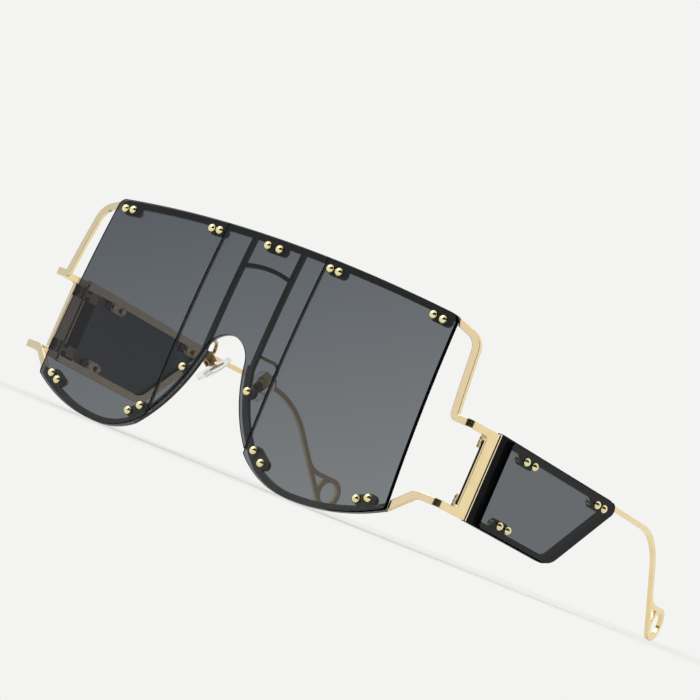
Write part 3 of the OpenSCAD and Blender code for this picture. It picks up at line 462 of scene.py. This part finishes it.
def floor_paint(name):
    """Pale floor: far away it is its plain colour, near the object it takes the lamps and shadows."""
    mat, nodes, links = new_material(name)
    diffuse = put(nodes, "ShaderNodeBsdfDiffuse", Color=FLOOR_PAINT)
    glow = put(nodes, "ShaderNodeEmission", Color=PALE, Strength=1.0)
    place = nodes.new("ShaderNodeNewGeometry")
    away = put(nodes, "ShaderNodeVectorMath", operation="LENGTH")
    links.new(place.outputs["Position"], away.inputs[0])
    fade = mapped(
        nodes, links, away.outputs["Value"], FLOOR_FADE, interpolation_type="SMOOTHSTEP")
    share = combine(nodes, links, "MULTIPLY", not_lighting(nodes, links), fade)
    surface = mixed_shader(nodes, links, share, diffuse.outputs["BSDF"], glow.outputs["Emission"])
    end_in(nodes, links, "ShaderNodeOutputMaterial", surface)
    return mat


def plane(name, size, location, rotation, mat):
    bpy.ops.mesh.primitive_plane_add(size=1.0, location=location, rotation=rotation)
    obj = bpy.context.object
    obj.name = name
    obj.scale = (size, size, 1.0)
    obj.data.materials.append(mat)
    return obj


plane("floor", FLOOR_SIZE, FLOOR_AT, (0, 0, 0), floor_paint("floor_pale"))

# Dark card that only gloss sees, brightness by place from its rim to its middle

CARD_WAY = Vector((0.84, -0.54, 0.0)).normalized()
CARD_AWAY = 0.9
CARD_SIZE = 3.4
CARD_STOPS = [(0.0, 0.9), (0.12, 0.6), (0.24, 0.04), (1.0, 0.01)]


def card_glow(name):
    mat, nodes, links = new_material(name)
    coord = nodes.new("ShaderNodeTexCoord")
    doubled = put(nodes, "ShaderNodeVectorMath", operation="SCALE", Scale=2.0)
    links.new(coord.outputs["Object"], doubled.inputs[0])
    middle = put(nodes, "ShaderNodeTexGradient", gradient_type="SPHERICAL")
    links.new(doubled.outputs["Vector"], middle.inputs["Vector"])
    shade = ramp(nodes, links, middle.outputs["Fac"], [(p, grey(v)) for p, v in CARD_STOPS])
    glow = put(nodes, "ShaderNodeEmission", Strength=1.0)
    links.new(shade, glow.inputs["Color"])
    end_in(nodes, links, "ShaderNodeOutputMaterial", glow.outputs["Emission"])
    return mat


card_turn = CARD_WAY.to_track_quat("Z", "Y").to_euler()
card = plane("card_front", CARD_SIZE, CARD_WAY * CARD_AWAY, card_turn, card_glow("card_front"))
card.visible_camera = False
card.visible_diffuse = False
card.visible_transmission = False
card.visible_shadow = False

# Sky and lamps

SKY_LIGHT = (1.0, 0.99, 0.97, 1.0)
SKY_STRENGTH = 0.75
LAMP_TARGET = Vector((0.0, 0.0, 0.03))

world = bpy.data.worlds.new("studio")
bpy.context.scene.world = world
world.use_nodes = True
sky_nodes, sky_links = world.node_tree.nodes, world.node_tree.links
sky_nodes.clear()
light_sky = put(sky_nodes, "ShaderNodeBackground", Color=SKY_LIGHT, Strength=SKY_STRENGTH)
seen_sky = put(sky_nodes, "ShaderNodeBackground", Color=PALE, Strength=1.0)
sky = mixed_shader(
    sky_nodes, sky_links, not_lighting(sky_nodes, sky_links),
    light_sky.outputs["Background"], seen_sky.outputs["Background"])
end_in(sky_nodes, sky_links, "ShaderNodeOutputWorld", sky)


def area_lamp(name, location, size, power):
    data = bpy.data.lights.new(name, "AREA")
    data.shape = "RECTANGLE"
    data.size, data.size_y = size, size
    data.energy = power
    obj = bpy.data.objects.new(name, data)
    bpy.context.collection.objects.link(obj)
    obj.location = location
    obj.rotation_euler = (LAMP_TARGET - Vector(location)).to_track_quat("-Z", "Y").to_euler()


area_lamp("key", location=(-0.5, -0.7, 1.1), size=0.9, power=9.0)
area_lamp("fill", location=(1.2, -0.4, 0.7), size=0.8, power=5.0)

# Camera, from a fit of both mirrored halves to the photo

CAMERA_AT = (0.616952, -0.825099, 0.008195)
RIGHT = Vector((0.743567, 0.557244, 0.369578))
AHEAD = Vector((-0.611181, 0.790597, 0.037607))
SENSOR_MM = 36.0
FOCAL_MM = 180.0
CLIP = (0.01, 50.0)

cam_data = bpy.data.cameras.new("camera")
cam_data.sensor_width = SENSOR_MM
cam_data.lens = FOCAL_MM
cam_data.clip_start, cam_data.clip_end = CLIP
camera = bpy.data.objects.new("camera", cam_data)
bpy.context.collection.objects.link(camera)
back = -AHEAD.normalized()
right = (RIGHT - back * RIGHT.dot(back)).normalized()
turn = Matrix((right, back.cross(right), back)).transposed().to_4x4()
camera.matrix_world = Matrix.Translation(CAMERA_AT) @ turn
bpy.context.scene.camera = camera

bpy.context.scene.view_settings.view_transform = "Standard"
